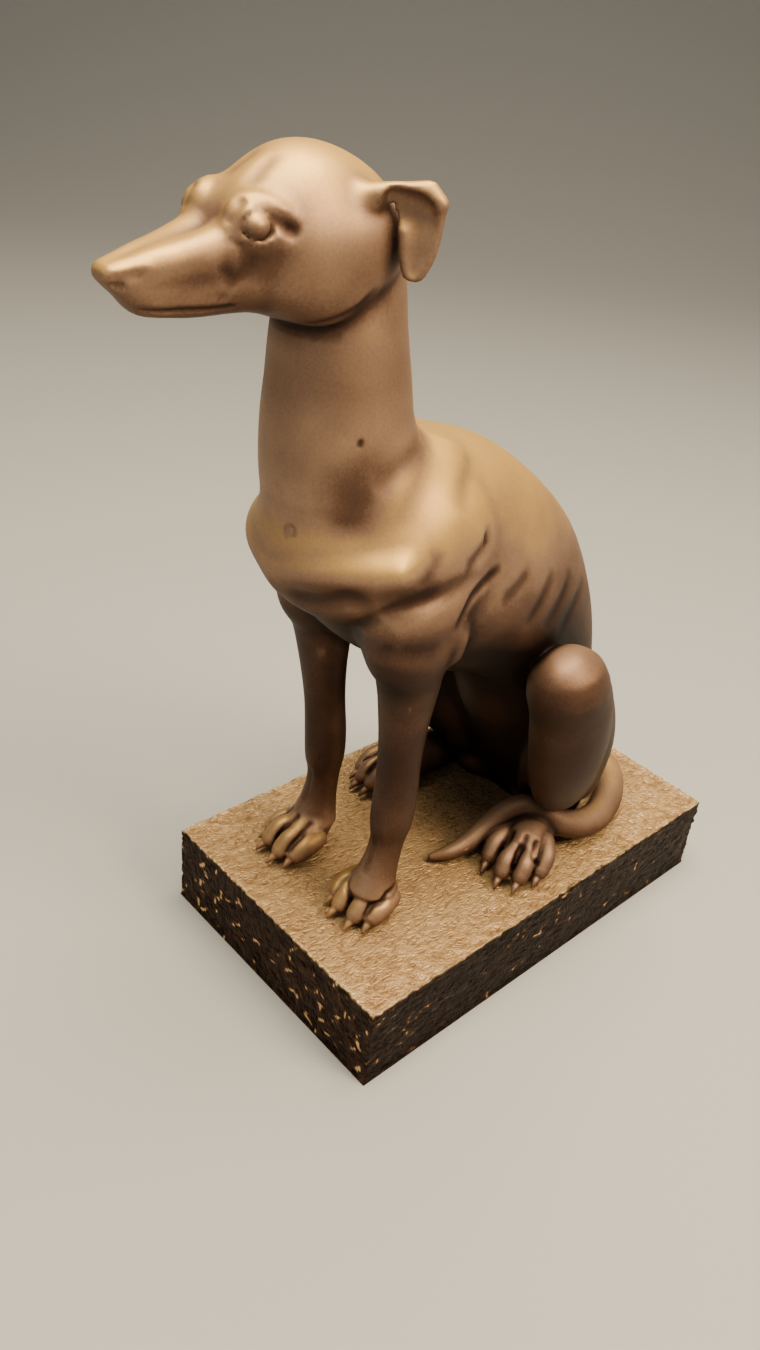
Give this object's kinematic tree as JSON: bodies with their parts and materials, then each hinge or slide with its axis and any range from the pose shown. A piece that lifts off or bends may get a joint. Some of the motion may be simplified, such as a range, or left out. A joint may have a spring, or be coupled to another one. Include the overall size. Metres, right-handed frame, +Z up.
{
  "type": "greyhound statue",
  "caption": "Seated greyhound ornament, cast and bronze-painted, fixed on a tooled rectangular base that stands flat.",
  "frame": {"origin": "centre of the base's flat underside", "axes": "+Z up, the dog faces -Y, its left side is +X"},
  "size_m": [0.1216, 0.2637, 0.3067],
  "materials": {
    "figure_bronze": "cast resin with a satin bronze paint, rubbed gold on its high parts and darker in its hollows",
    "base_bronze": "cast resin with short tool strokes, tan gold paint on top and dark brown on the sides"
  },
  "bodies": {
    "root": {"greyhound": "figure_bronze", "base": "base_bronze"}
  },
  "joints": []
}
